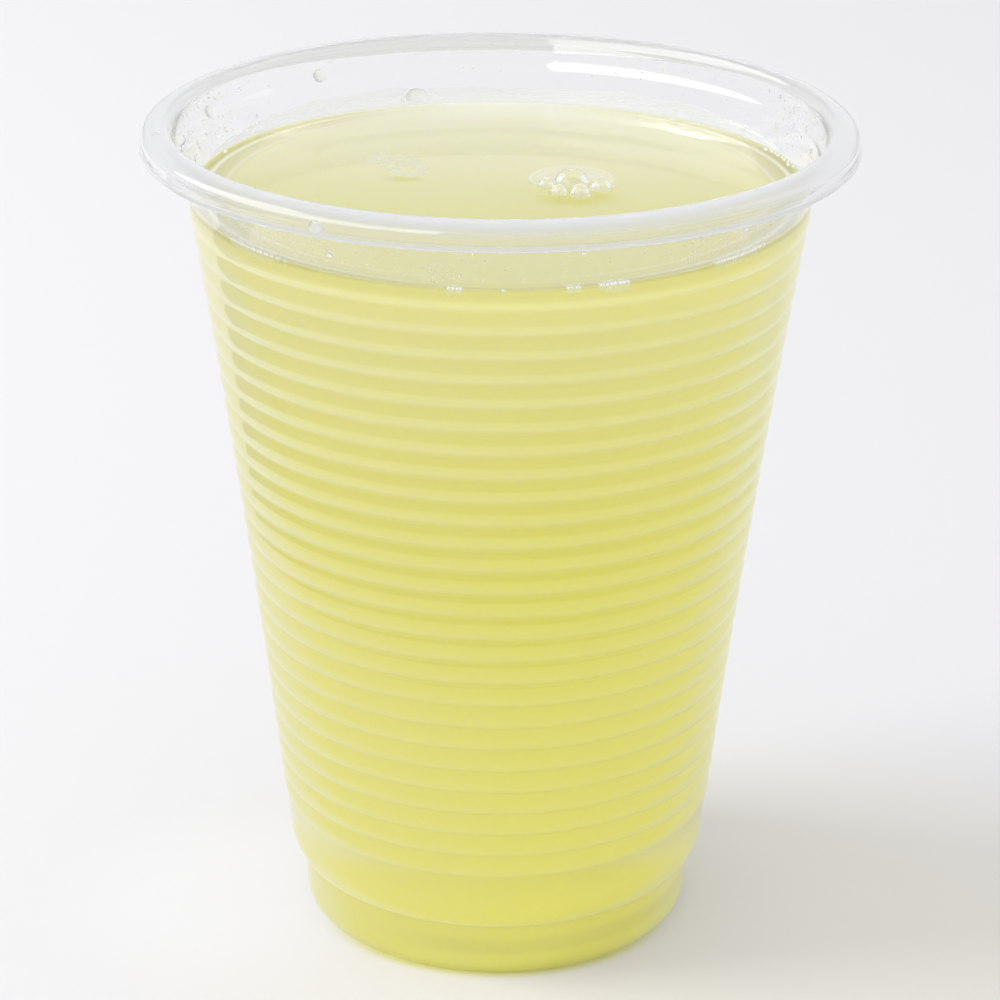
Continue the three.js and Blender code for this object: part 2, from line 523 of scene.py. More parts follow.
def linear(code):
    """Turns an sRGB hex colour to the linear colour that a shader takes."""
    channels = [int(code[at:at + 2], 16) / 255 for at in (1, 3, 5)]
    turned = [c / 12.92 if c <= 0.04045 else ((c + 0.055) / 1.055) ** 2.4 for c in channels]
    return (*turned, 1.0)


def add(tree, kind, inputs=None, **settings):
    """Adds a node with its settings, and links each input to a node or socket or gives it a value.

    A mix of colours has its share at 0, its base at 6 and its tint at 7.
    """
    node = tree.nodes.new(kind)
    for name, setting in settings.items():
        setattr(node, name, setting)
    for name, source in (inputs or {}).items():
        if isinstance(source, bpy.types.Node):
            source = next(socket for socket in source.outputs if socket.enabled)
        if isinstance(source, bpy.types.NodeSocket):
            tree.links.new(source, node.inputs[name])
        else:
            node.inputs[name].default_value = source
    return node


def new_material(name):
    material = bpy.data.materials.new(name)
    material.use_nodes = True
    material.node_tree.nodes.clear()
    return material, material.node_tree


def groove_radius(height):
    """Outer radius at the grooves between the ribs: a cone that sags slightly towards the axis."""
    up = (height - RIB_BOTTOM) / (RIB_TOP - RIB_BOTTOM)
    cone = RIB_BOTTOM_RADIUS + up * (RIB_TOP_RADIUS - RIB_BOTTOM_RADIUS)
    return cone - WALL_SAG * 4 * up * (1 - up)


def rib_outline(steps):
    """Ribs from the lowest up: a hair of a ledge, a hollow flank and an upright upper part."""
    crest_at = 1 - RIB_CREST
    points = []
    for rib in range(RIB_COUNT):
        groove = RIB_BOTTOM + rib * RIB_PITCH
        low = groove_radius(groove)
        full = groove_radius(groove + RIB_PITCH * crest_at) + RIB_SWELL
        high = groove_radius(groove + RIB_PITCH)
        for step in steps:
            if step == 0:
                radius = low
            elif step <= crest_at:
                left = 1 - step / crest_at
                radius = full - (full - low - RIB_LEDGE) * left * left
            else:
                over = (step - crest_at) / RIB_CREST
                radius = full + (high - full) * over * over
            points.append((radius, groove + step * RIB_PITCH))
    return points


def foot_outline():
    """Foot from where it stands up to the step: rounded below and nearly upright above."""
    points = []
    for step in range(FOOT_STEPS + 1):
        angle = step / FOOT_STEPS * math.pi / 2
        across = (FOOT_RADIUS - FOOT_TAPER - CONTACT_RADIUS) * math.sin(angle)
        points.append((CONTACT_RADIUS + across, FOOT_EDGE * (1 - math.cos(angle))))
    return points + [(FOOT_RADIUS - less, height) for less, height in FOOT_UPPER]


def shoulder_outline():
    start = FOOT_RADIUS + FOOT_TAPER
    points = []
    for step in range(SHOULDER_STEPS + 1):
        angle = step / SHOULDER_STEPS * math.pi / 2
        radius = start + (SHOULDER_RADIUS - start) * math.sin(angle)
        height = FOOT_HEIGHT + (SHOULDER_TOP - FOOT_HEIGHT) * (1 - math.cos(angle))
        points.append((radius, height))
    return points


def flare_radius(height):
    """Outer radius of the flared band, which steps out a little at the stacking ledge."""
    up = (height - RIB_TOP) / (FLARE_TOP - RIB_TOP)
    over = min(max((height - LEDGE_HEIGHT) / LEDGE_RISE, 0.0), 1.0)
    step = over * over * (3 - 2 * over) - up
    return RIB_TOP_RADIUS + (FLARE_TOP_RADIUS - RIB_TOP_RADIUS) * up + LEDGE_DEPTH * step


def flare_outline():
    ledge = [LEDGE_HEIGHT + LEDGE_RISE * step / LEDGE_STEPS for step in range(LEDGE_STEPS + 1)]
    return [(flare_radius(height), height) for height in (*FLARE_BELOW, *ledge, *FLARE_ABOVE)]


def wall_outline(steps=RIB_STEPS):
    return [*foot_outline(), *shoulder_outline(), *rib_outline(steps), *flare_outline()]


def rim_outline():
    """Rim from the top of the flare: inside the roll, down to the lip, round it, over the crest."""
    middle = CUP_HEIGHT - ROLL_HEIGHT
    width = RIM_RADIUS - SKIRT_FLARE - CREST_RADIUS
    points = []
    for step in range(ROLL_STEPS + 1):
        angle = math.pi * (1 - step / ROLL_STEPS)
        if angle > math.pi / 2:
            reach = CREST_RADIUS - FLARE_TOP_RADIUS - ROLL_GAP
        else:
            reach = width - WALL
        radius = CREST_RADIUS + reach * math.cos(angle)
        points.append((radius, middle + (ROLL_HEIGHT - WALL) * math.sin(angle)))
    points += LIP
    for step in range(ROLL_STEPS + 1):
        angle = math.pi / 2 * step / ROLL_STEPS
        radius = CREST_RADIUS + width * math.cos(angle)
        points.append((radius, middle + ROLL_HEIGHT * math.sin(angle)))
    return [*points, *MOUTH_EDGE]


def inside_of_foot(depth):
    """Outline inside the foot at a depth under its outside: round the channel and over the floor."""
    inner = FOOT_RADIUS - FOOT_TAPER - depth
    edge = FLOOR_RADIUS + depth
    bottom = STANDING_THICKNESS - (WALL - depth) * DEEPER_AT_FOOT
    top = FLOOR_RISE + depth
    return [
        (inner, FOOT_EDGE),
        (inner - CHANNEL_BEND, CHANNEL_BEND_HEIGHT),
        (inner - CHANNEL_CORNER, bottom + CHANNEL_CORNER),
        (inner - CHANNEL_FLAT, bottom),
        (edge + FLOOR_FLANK, bottom),
        (edge + FLOOR_BEND, top - FLOOR_BEND_DEPTH),
        (edge - FLOOR_CORNER, top),
        (0.0, top),
    ]


def inward(points, distance):
    return [(radius - distance, height) for radius, height in points]


def turned(outline, sides):
    """Points and faces of a solid of revolution from an outline that starts and ends on the axis."""
    points = []
    rings = []
    for radius, height in outline:
        if radius < ON_AXIS:
            rings.append([len(points)])
            points.append((0.0, 0.0, height))
            continue
        rings.append(list(range(len(points), len(points) + sides)))
        for side in range(sides):
            angle = side / sides * 2 * math.pi
            points.append((radius * math.cos(angle), radius * math.sin(angle), height))
    faces = []
    for lower, upper in zip(rings, rings[1:]):
        for side in range(sides):
            after = (side + 1) % sides
            if len(lower) == 1:
                faces.append((lower[0], upper[after], upper[side]))
            elif len(upper) == 1:
                faces.append((lower[side], lower[after], upper[0]))
            else:
                faces.append((lower[side], lower[after], upper[after], upper[side]))
    return points, faces


def new_piece(name, points, faces):
    """A smooth mesh object from points in millimetres."""
    mesh = bpy.data.meshes.new(name)
    mesh.from_pydata([Vector(point) * MM for point in points], [], faces)
    mesh.validate()
    mesh.shade_smooth()
    piece = bpy.data.objects.new(name, mesh)
    bpy.context.scene.collection.objects.link(piece)
    return piece


def join_small(name, bodies):
    """One piece from many small bodies, each given as its points and faces."""
    points = []
    faces = []
    for own_points, own_faces in bodies:
        start = len(points)
        points += own_points
        faces += [tuple(start + corner for corner in face) for face in own_faces]
    return new_piece(name, points, faces)


def stand(body, place, axis, stretch=1.0):
    """Moves a small body to its place with its own axis along another, stretched across."""
    points, faces = body
    turn = Vector(axis).to_track_quat("Z", "Y").to_matrix()
    moved = [turn @ Vector((x * stretch, y, z)) + Vector(place) for x, y, z in points]
    return [tuple(point) for point in moved], faces


def lens(radius, height, rings, sides):
    """A drop: a cap that bulges from a flat foot, which lies a little under the surface."""
    outline = [(0.0, -height * SUNK)]
    for step in range(rings):
        angle = step / rings * math.pi / 2
        outline.append((radius * math.cos(angle), height * math.sin(angle)))
    outline.append((0.0, height))
    return turned(outline, sides)


def swell(radius, height, rings, sides):
    """A soft rise that runs out level into the surface round it."""
    outline = [(0.0, -height * SUNK), (radius, -height * SUNK)]
    for step in range(1, rings):
        share = 1 - step / rings
        outline.append((radius * share, height * math.cos(share * math.pi / 2) ** 2))
    outline.append((0.0, height))
    return turned(outline, sides)


def bead(radius, rings, sides):
    """A whole ball, a little flattened."""
    outline = [(0.0, -radius * BEAD_FLATTENING)]
    for step in range(1, rings):
        angle = (step / rings - 0.5) * math.pi
        outline.append((radius * math.cos(angle), radius * BEAD_FLATTENING * math.sin(angle)))
    outline.append((0.0, radius * BEAD_FLATTENING))
    return turned(outline, sides)


def film_dome(radius, flattening, rings, sides):
    """A bubble: a thin domed film with air under it, thicker towards its foot in the drink."""
    outline = [(0.0, (radius - FILM) * flattening)]
    for step in range(1, rings + 1):
        angle = (1 - step / rings) * math.pi / 2
        inner = radius - FILM * (1 + FOOT_OF_FILM * math.cos(angle) ** FILM_THICKENING)
        outline.append((inner * math.cos(angle), inner * flattening * math.sin(angle)))
    outline += [(inner, -FILM), (radius, -FILM)]
    for step in range(rings):
        angle = step / rings * math.pi / 2
        outline.append((radius * math.cos(angle), radius * flattening * math.sin(angle)))
    outline.append((0.0, radius * flattening))
    return turned(outline, sides)


def on_circle(direction, radius, height):
    angle = math.radians(direction)
    return (radius * math.cos(angle), radius * math.sin(angle), height)


def on_wall(direction, height):
    """Place on the inside of the flared wall."""
    return on_circle(direction, flare_radius(height) - WALL, height)


def inside_axis(direction):
    """Points from the inside of the flared wall towards the air."""
    lean = (FLARE_TOP_RADIUS - RIB_TOP_RADIUS) / (FLARE_TOP - RIB_TOP)
    angle = math.radians(direction)
    return (-math.cos(angle), -math.sin(angle), lean)


def finish_piece(piece, material, replaces=None):
    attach(piece, BODY)
    if replaces:
        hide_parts(replaces)
    piece.data.materials.clear()
    piece.data.materials.append(material)


def make_cup(material):
    wall = wall_outline()
    lining = [point for point in wall_outline(RIB_STEPS_INSIDE) if point[1] >= LINING_START]
    inside = list(reversed(inward(lining, WALL)))
    outline = [*UNDERSIDE, *wall, *rim_outline(), *inside, *inside_of_foot(WALL)]
    cup = new_piece("ribbed_cup", *turned(outline, SIDES))
    finish_piece(cup, material, replaces="cup")


def drink_edge():
    return flare_radius(DRINK_LEVEL + EDGE_CLIMB) - WALL + INTO_WALL


def surface_height(x, y):
    """Height of the drink: tilted a hair, up at its edge and round the bubbles, dented in them."""
    from_wall = drink_edge() - math.hypot(x, y)
    direction = math.atan2(y, x)
    at_edge = EDGE_CLIMB + EDGE_SWAY * math.cos(2 * direction)
    height = DRINK_LEVEL + TILT * y / drink_edge() + at_edge * math.exp(-from_wall / CLIMB_REACH)
    nearest = min(math.hypot(x - bx, y - by) - radius for bx, by, radius, _ in BUBBLES)
    if nearest >= 0:
        return height + COLLAR * math.exp(-nearest / COLLAR_REACH)
    for bx, by, radius, _ in BUBBLES:
        away = math.hypot(x - bx, y - by) / radius
        if away < 1:
            height += COLLAR - (DENT * radius + COLLAR) * (1 - away * away)
            break
    return height


def make_drink(material):
    depth = WALL - INTO_WALL
    foot = list(reversed(inside_of_foot(depth)))
    side_top = DRINK_LEVEL - SIDE_END
    wall = [point for point in wall_outline() if FOOT_EDGE < point[1] < side_top]
    side = inward(wall, depth)
    under_edge = DRINK_LEVEL - BRIM
    surface = [(drink_edge(), under_edge), (drink_edge(), DRINK_LEVEL)]
    radius = drink_edge() - BRIM
    while radius > SURFACE_STEP:
        surface.append((radius, DRINK_LEVEL))
        radius -= SURFACE_STEP
    points, faces = turned([*foot, *side, *surface, (0.0, DRINK_LEVEL)], SIDES)
    for at, (x, y, z) in enumerate(points):
        if z >= under_edge:
            points[at] = (x, y, surface_height(x, y) + z - DRINK_LEVEL)
    drink = new_piece("cloudy_lemonade", points, faces)
    finish_piece(drink, material, replaces="lemonade")


def make_bubbles(material):
    domes = []
    for x, y, radius, height in BUBBLES:
        dome = film_dome(radius, height, *DOME_MESH)
        domes.append(stand(dome, (x, y, BUBBLE_LEVEL), UPRIGHT))
    finish_piece(join_small("floating_bubbles", domes), material)


def make_froth(material):
    domes = []
    for x, y, radius in FROTH:
        dome = swell(radius * FROTH_SPREAD, FROTH_HEIGHT * radius, *FROTH_MESH)
        domes.append(stand(dome, (x, y, surface_height(x, y)), UPRIGHT))
    finish_piece(join_small("froth_patch", domes), material)


def edge_place(direction, radius):
    x, y, _ = on_circle(direction, drink_edge() + EDGE_PRESS - radius, 0)
    return (x, y, surface_height(x, y) - radius * BEAD_SINK)


def make_edge_bubbles(material):
    """Beads of air where the drink meets the wall, half in the drink and pressed to the wall."""
    beads = []
    for direction, size in EDGE_BUBBLES:
        radius = size * EDGE_GROWTH
        beads.append(stand(bead(radius, *BEAD_MESH), edge_place(direction, radius), UPRIGHT))
    finish_piece(join_small("edge_bubbles", beads), material)


def make_glints(material):
    """White caps high on every bubble, painted glints where its air mirrors the room, on both its
    sides.
    """
    spots = []
    for direction, size in EDGE_BUBBLES:
        radius = size * EDGE_GROWTH
        centre = Vector(edge_place(direction, radius))
        for turn in GLINT_TURNS:
            axis = Vector(on_circle(direction + turn, 1.0, GLINT_LIFT)).normalized()
            spot = lens(radius * GLINT_SIZE, radius * GLINT_BULGE, *GLINT_MESH)
            spots.append(stand(spot, centre + axis * radius * GLINT_SEAT, axis))
    up = math.radians(DOME_GLINT_UP)
    for x, y, radius, height in BUBBLES:
        low = Vector((x, y, BUBBLE_LEVEL))
        for turn in DOME_GLINTS:
            out = on_circle(turn, math.cos(up), math.sin(up))
            place = low + Vector((out[0], out[1], out[2] * height)) * radius * DOME_GLINT_SEAT
            axis = (out[0], out[1], out[2] / height)
            spot = lens(radius * DOME_GLINT_SIZE, radius * DOME_GLINT_BULGE, *DOME_GLINT_MESH)
            spots.append(stand(spot, place, axis))
    finish_piece(join_small("bubble_glints", spots), material)


def make_drops(material):
    drops = []
    for direction, height, radius in DROPS:
        body = lens(radius, radius * DROP_HEIGHT, *DROP_MESH)
        place = on_wall(direction, height)
        drops.append(stand(body, place, inside_axis(direction), DROP_STRETCH))
    direction, height, radius, width = BROAD_DROP
    broad = lens(radius, radius * DROP_HEIGHT, *BROAD_DROP_MESH)
    drops.append(stand(broad, on_wall(direction, height), inside_axis(direction), width))
    for direction, reach, height, radius in RIM_DROPS:
        x, y, _ = on_circle(direction, reach - CREST_RADIUS, 0)
        axis = (x, y, height - CUP_HEIGHT + ROLL_HEIGHT)
        body = lens(radius, radius * DROP_HEIGHT, *DROP_MESH)
        drops.append(stand(body, on_circle(direction, reach, height), axis, RIM_DROP_STRETCH))
    finish_piece(join_small("clinging_drops", drops), material)


def make_mist(material):
    specks = []
    for count, start, end, low, high, least, most in MIST:
        for _ in range(count):
            direction = random.uniform(start, end)
            height = random.uniform(low, high)
            radius = random.uniform(least, most)
            body = lens(radius, radius * MIST_HEIGHT, *MIST_MESH)
            specks.append(stand(body, on_wall(direction, height), inside_axis(direction)))
    finish_piece(join_small("condensed_mist", specks), material)


def band_top(direction):
    """How far the wet band reaches above the drink: gone at its two ends and ragged between."""
    along = (direction - BAND_START) / (BAND_END - BAND_START)
    share = min(math.sin(math.pi * along) * BAND_FULLNESS, 1.0)
    ragged = sum(
        size * math.sin(math.radians(direction * turns + start))
        for turns, size, start in BAND_WAVES
    )
    return (BAND_HIGH + ragged) * max(share, 0.0)


def make_wet_band(material):
    """A thin wet film on the wall above the drink, thickest below and thinning to a ragged top."""
    points = []
    for column in range(BAND_COLUMNS + 1):
        direction = BAND_START + (BAND_END - BAND_START) * column / BAND_COLUMNS
        x, y, _ = on_circle(direction, drink_edge(), 0)
        foot = surface_height(x, y) - BAND_LAP
        rise = BAND_LAP + band_top(direction)
        for share in BAND_SHARES:
            height = foot + rise * share
            thickness = (BAND_THICKNESS * rise / BAND_HIGH) * (1 - share)
            points.append(on_circle(direction, flare_radius(height) - WALL - thickness, height))
        for share in reversed(BAND_SHARES):
            height = foot + rise * share
            reach = flare_radius(height) - WALL + BAND_INTO_WALL
            points.append(on_circle(direction, reach, height))
    across = 2 * len(BAND_SHARES)
    faces = [tuple(range(across)), tuple(reversed(range(len(points) - across, len(points))))]
    for column in range(BAND_COLUMNS):
        here = column * across
        there = here + across
        for row in range(across):
            up = (row + 1) % across
            faces.append((here + up, here + row, there + row, there + up))
    finish_piece(new_piece("wet_band", points, faces), material)


def clear_for_light(tree, shader):
    """Lets lamps and soft light through a clear wall, so that what it holds is lit as in life."""
    path = add(tree, "ShaderNodeLightPath")
    passing = add(
        tree,
        "ShaderNodeMath",
        {0: path.outputs["Is Shadow Ray"], 1: path.outputs["Is Diffuse Ray"]},
        operation="MAXIMUM",
    )
    clear = add(tree, "ShaderNodeBsdfTransparent", {"Color": (1.0, 1.0, 1.0, 1.0)})
    mix = add(tree, "ShaderNodeMixShader", {"Fac": passing, 1: shader, 2: clear})
    add(tree, "ShaderNodeOutputMaterial", {"Surface": mix})


def over_span(value, span, most=1.0, unit=MM):
    """Inputs of a share that grows as a value goes over a span, which is mostly in millimetres."""
    start, end = span
    return {"Value": value, "From Min": start * unit, "From Max": end * unit, "To Max": most}


def grey_stops(stops, low, high):
    """Grey stops for a ramp over a span, from places and strengths."""
    return [((at - low) / (high - low), (level, level, level, 1.0)) for at, level in stops]


def put_stops(ramp, stops):
    """Puts the colours of a ramp at their places."""
    elements = ramp.color_ramp.elements
    elements[0].position, elements[0].color = stops[0]
    elements[1].position, elements[1].color = stops[-1]
    for position, colour in stops[1:-1]:
        elements.new(position).color = colour


def from_axis(tree, parts):
    """Distance from the axis of the cup."""
    flat = add(tree, "ShaderNodeCombineXYZ", {"X": parts.outputs["X"], "Y": parts.outputs["Y"]})
    return add(tree, "ShaderNodeVectorMath", {0: flat}, operation="LENGTH")


def distance_to(tree, place, x, y, width, depth):
    """Distance across the drink or floor, 1 at the edge of an oval of that half width and depth."""
    moved = add(
        tree,
        "ShaderNodeMapping",
        {
            "Vector": place,
            "Location": (-x / width, -y / depth, 0.0),
            "Scale": (1 / (width * MM), 1 / (depth * MM), 0.0),
        },
    )
    return add(tree, "ShaderNodeVectorMath", {0: moved}, operation="LENGTH")


def with_patch(tree, place, oval, core, most, base, tint):
    """A base colour with a soft oval patch, full within its core and gone at its edge."""
    within = add(
        tree,
        "ShaderNodeMapRange",
        over_span(distance_to(tree, place, *oval), (1.0, core), most, unit=1.0),
        interpolation_type="SMOOTHSTEP",
    )
    return add(tree, "ShaderNodeMix", {0: within, 6: base, 7: linear(tint)}, data_type="RGBA")


def milky_share(tree, parts, reach):
    """Where forming turned the plastic milky: on the roll, and on the outside of the lip."""
    height = parts.outputs["Z"]
    rolled = add(
        tree,
        "ShaderNodeMapRange",
        over_span(height, ROLL_MILKY),
        interpolation_type="SMOOTHSTEP",
    )
    lip = add(tree, "ShaderNodeMapRange", over_span(height, LIP_MILKY))
    outer = add(
        tree,
        "ShaderNodeMath",
        {0: reach, 1: LIP_MILKY_RADIUS * MM},
        operation="GREATER_THAN",
    )
    on_lip = add(tree, "ShaderNodeMath", {0: lip, 1: outer}, operation="MULTIPLY")
    return add(tree, "ShaderNodeMath", {0: rolled, 1: on_lip}, operation="MAXIMUM")


def formed_surface(tree, place, parts, reach, milky):
    """Slow waves all over the sheet, and fine lines along the rolled rim."""
    waves = add(
        tree,
        "ShaderNodeTexNoise",
        {"Vector": place.outputs["Object"], "Scale": SHEET_WAVES / MM, "Detail": 2.0},
    )
    wavy = add(
        tree,
        "ShaderNodeBump",
        {"Height": waves, "Strength": WAVE_STRENGTH, "Distance": WAVE_DEPTH * MM},
    )
    along_roll = add(
        tree,
        "ShaderNodeMath",
        {0: reach, 1: parts.outputs["Z"]},
        operation="SUBTRACT",
    )
    lines = add(
        tree,
        "ShaderNodeTexNoise",
        {"W": along_roll, "Scale": ROLL_LINES / MM, "Detail": 1.0},
        noise_dimensions="1D",
    )
    on_rim = add(tree, "ShaderNodeMath", {0: lines, 1: milky}, operation="MULTIPLY")
    return add(
        tree,
        "ShaderNodeBump",
        {
            "Height": on_rim,
            "Strength": LINE_STRENGTH,
            "Distance": LINE_DEPTH * MM,
            "Normal": wavy,
        },
    )


def plastic_clearness(tree, milky):
    """Clear, less so where the plastic is milky, and where it is seen aslant through more of it."""
    body = add(
        tree,
        "ShaderNodeMapRange",
        {"Value": milky, "To Min": PLASTIC_CLEAR, "To Max": PLASTIC_MILKY},
    )
    slant = add(tree, "ShaderNodeLayerWeight", {"Blend": 0.5})
    haze = add(
        tree,
        "ShaderNodeMapRange",
        over_span(slant.outputs["Facing"], SLANT_SPAN, SLANT_HAZE, unit=1.0),
        interpolation_type="SMOOTHSTEP",
    )
    return add(tree, "ShaderNodeMath", {0: body, 1: haze}, operation="SUBTRACT")


def polypropylene():
    """Clear polypropylene sheet, thermoformed: a soft gloss, and milkier where the rim is rolled."""
    material, tree = new_material("thermoformed_polypropylene")
    place = add(tree, "ShaderNodeTexCoord")
    parts = add(tree, "ShaderNodeSeparateXYZ", {0: place.outputs["Object"]})
    reach = from_axis(tree, parts)
    milky = milky_share(tree, parts, reach)
    colour = add(
        tree,
        "ShaderNodeMix",
        {0: milky, 6: linear(PLASTIC_TINT), 7: linear(MILKY_TINT)},
        data_type="RGBA",
    )
    plastic = add(
        tree,
        "ShaderNodeBsdfPrincipled",
        {
            "Base Color": colour,
            "Roughness": 0.05,
            "IOR": 1.49,
            "Normal": formed_surface(tree, place, parts, reach, milky),
            "Transmission Weight": plastic_clearness(tree, milky),
        },
    )
    clear_for_light(tree, plastic)
    return material


def painted_rib_highlight(tree, parts):
    """Painted highlight on the hollow flank of each rib: strongest at the groove and gone at the
    crest.
    """
    height = parts.outputs["Z"]
    ribs = add(
        tree,
        "ShaderNodeMath",
        {0: height, 1: 1 / (RIB_PITCH * MM), 2: -RIB_BOTTOM / RIB_PITCH},
        operation="MULTIPLY_ADD",
    )
    up_the_rib = add(tree, "ShaderNodeMath", {0: ribs}, operation="FRACT")
    flank = add(
        tree,
        "ShaderNodeMapRange",
        {"Value": up_the_rib, "From Max": RIB_HIGHLIGHT_SHARE, "To Min": 1.0, "To Max": 0.0},
    )
    above_shoulder = add(tree, "ShaderNodeMapRange", over_span(height, RIB_HIGHLIGHT_START))
    return add(tree, "ShaderNodeMath", {0: flank, 1: above_shoulder}, operation="MULTIPLY")


def with_shades(tree, parts, base):
    """Painted shade through the wall: at the contact edge, over the raised floor with the shade
    under it, and just under the brim.
    """
    up = add(tree, "ShaderNodeMapRange", over_span(parts.outputs["Z"], (0.0, SIDE_TOP)))
    shades = []
    for stops in (EDGE_SHADE, FLOOR_SHADE, BRIM_SHADE):
        shade = add(tree, "ShaderNodeValToRGB", {"Fac": up})
        put_stops(shade, grey_stops(stops, 0.0, SIDE_TOP))
        shades.append(shade)
    edge, inside, brim = shades
    from_left = add(
        tree,
        "ShaderNodeMapRange",
        over_span(parts.outputs["X"], FLOOR_SHADE_SPAN),
        interpolation_type="SMOOTHSTEP",
    )
    floor_shade = add(tree, "ShaderNodeMath", {0: inside, 1: from_left}, operation="MULTIPLY")
    olive = add(tree, "ShaderNodeMath", {0: edge, 1: floor_shade}, operation="MAXIMUM")
    # Painted shade just under the brim, then painted contact shade and the raised floor's shade
    body = add(tree, "ShaderNodeMix", {0: brim, 6: base, 7: linear(BRIM_SHADE_TINT)}, data_type="RGBA")
    return add(tree, "ShaderNodeMix", {0: olive, 6: body, 7: linear(OLIVE_SHADE)}, data_type="RGBA")


def side_colour(tree, parts):
    """The drink through the wall: paler towards the top, with painted highlights on each rib's
    flank, a painted reflection at the left and painted light at the right.
    """
    across = parts.outputs["X"]
    rise = add(
        tree,
        "ShaderNodeMapRange",
        over_span(parts.outputs["Z"], SIDE_RISE_SPAN, SIDE_RISE),
        interpolation_type="SMOOTHSTEP",
    )
    left = add(tree, "ShaderNodeMapRange", over_span(across, LEFT_SPAN))
    right = add(tree, "ShaderNodeMapRange", over_span(across, RIGHT_SPAN, RIGHT_LIGHT_MOST))
    most = add(
        tree,
        "ShaderNodeMath",
        {0: left, 1: RIB_HIGHLIGHT_LEFT, 2: RIB_HIGHLIGHT},
        operation="MULTIPLY_ADD",
    )
    # Painted highlights on the rib flanks, stronger towards the left
    highlight_share = add(tree, "ShaderNodeMath", {0: painted_rib_highlight(tree, parts), 1: most}, operation="MULTIPLY")
    paleness = add(tree, "ShaderNodeMath", {0: rise, 1: highlight_share}, operation="ADD")
    body = add(
        tree,
        "ShaderNodeMix",
        {0: paleness, 6: linear(SIDE_DEEP), 7: linear(SIDE_PALE)},
        data_type="RGBA",
    )
    # Painted reflection down the left side, then painted light on the right side
    tint = add(tree, "ShaderNodeMath", {0: left, 1: LEFT_REFLECTION_MOST}, operation="MULTIPLY")
    body = add(tree, "ShaderNodeMix", {0: tint, 6: body, 7: linear(LEFT_REFLECTION_TINT)}, data_type="RGBA")
    body = add(tree, "ShaderNodeMix", {0: right, 6: body, 7: linear(RIGHT_LIGHT_TINT)}, data_type="RGBA")
    return with_shades(tree, parts, body)


def with_painted_rings(tree, parts, base):
    """Painted rings by the wall: painted shade and pale painted reflections of the wall and rim at
    both sides, and a deeper ring in front.
    """
    reach = from_axis(tree, parts)
    sideways = add(tree, "ShaderNodeMath", {0: parts.outputs["X"], 1: reach}, operation="DIVIDE")
    at_side = add(tree, "ShaderNodeMath", {0: sideways}, operation="ABSOLUTE")
    out = add(tree, "ShaderNodeMapRange", over_span(reach, RING_SPAN))
    shares = []
    for stops in (RING_SHADES, RING_REFLECTIONS):
        ring = add(tree, "ShaderNodeValToRGB", {"Fac": out})
        put_stops(ring, grey_stops(stops, *RING_SPAN))
        shares.append(add(tree, "ShaderNodeMath", {0: ring, 1: at_side}, operation="MULTIPLY"))
    ring_shade, painted_reflection = shares
    # Painted shade in rings at both sides, a deeper ring in front, then pale painted reflections of
    # the wall and rim
    colour = add(tree, "ShaderNodeMix", {0: ring_shade, 6: base, 7: linear(RING_SHADE_TINT)}, data_type="RGBA")
    front = add(tree, "ShaderNodeMapRange", over_span(reach, RING_FRONT, RING_FRONT_MOST))
    near = add(tree, "ShaderNodeMapRange", over_span(parts.outputs["Y"], RING_FRONT_SPAN))
    brim = add(tree, "ShaderNodeMath", {0: front, 1: near}, operation="MULTIPLY")
    colour = add(
        tree,
        "ShaderNodeMix",
        {0: brim, 6: colour, 7: linear(RING_FRONT_TINT)},
        data_type="RGBA",
    )
    return add(tree, "ShaderNodeMix", {0: painted_reflection, 6: colour, 7: linear(RING_REFLECTION_TINT)}, data_type="RGBA")


def shade_under_bubbles(tree, place):
    """Share of painted shade in and round the foot of every floating bubble."""
    nearest = None
    for x, y, radius, _ in BUBBLES:
        away = distance_to(tree, place, x, y, radius, radius)
        if nearest is not None:
            away = add(tree, "ShaderNodeMath", {0: nearest, 1: away}, operation="MINIMUM")
        nearest = away
    return add(
        tree,
        "ShaderNodeMapRange",
        over_span(nearest, UNDER_SPAN, UNDER_MOST, unit=1.0),
        interpolation_type="SMOOTHSTEP",
    )


def surface_colour(tree, place, parts):
    """The drink from above: palest behind with painted light and reflection, with painted rings by
    the wall, a painted reflection on the collar, and painted shade and shadows by the bubbles and
    froth.
    """
    front, back = TOP_LIGHT_TINTS[0][0], TOP_LIGHT_TINTS[-1][0]
    # Painted light and reflection make the drink paler towards the back
    across = add(tree, "ShaderNodeMapRange", over_span(parts.outputs["Y"], (front, back)))
    tints = add(tree, "ShaderNodeValToRGB", {"Fac": across})
    put_stops(tints, [((at - front) / (back - front), linear(tint)) for at, tint in TOP_LIGHT_TINTS])
    colour = with_painted_rings(tree, parts, tints)
    # Painted shadows before the bubbles and by the froth
    for oval in DRINK_SHADOWS:
        colour = with_patch(tree, place, oval, DRINK_SHADOW_CORE, DRINK_SHADOW_MOST, colour, DRINK_SHADOW_TINT)
    # Painted reflection on the collar of drink behind the bubbles
    bands = add(tree, "ShaderNodeValToRGB", {"Fac": distance_to(tree, place, *COLLAR_PATCH)})
    put_stops(bands, grey_stops(COLLAR_REFLECTION_BANDS, 0.0, 1.0))
    behind = add(tree, "ShaderNodeMapRange", over_span(parts.outputs["Y"], COLLAR_SPAN))
    painted_reflection = add(tree, "ShaderNodeMath", {0: bands, 1: behind}, operation="MULTIPLY")
    colour = add(
        tree,
        "ShaderNodeMix",
        {0: painted_reflection, 6: colour, 7: linear(COLLAR_REFLECTION_TINT)},
        data_type="RGBA",
    )
    # Painted shade in the foot of each floating bubble
    return add(
        tree,
        "ShaderNodeMix",
        {0: shade_under_bubbles(tree, place), 6: colour, 7: linear(UNDER_BUBBLE_SHADE)},
        data_type="RGBA",
    )


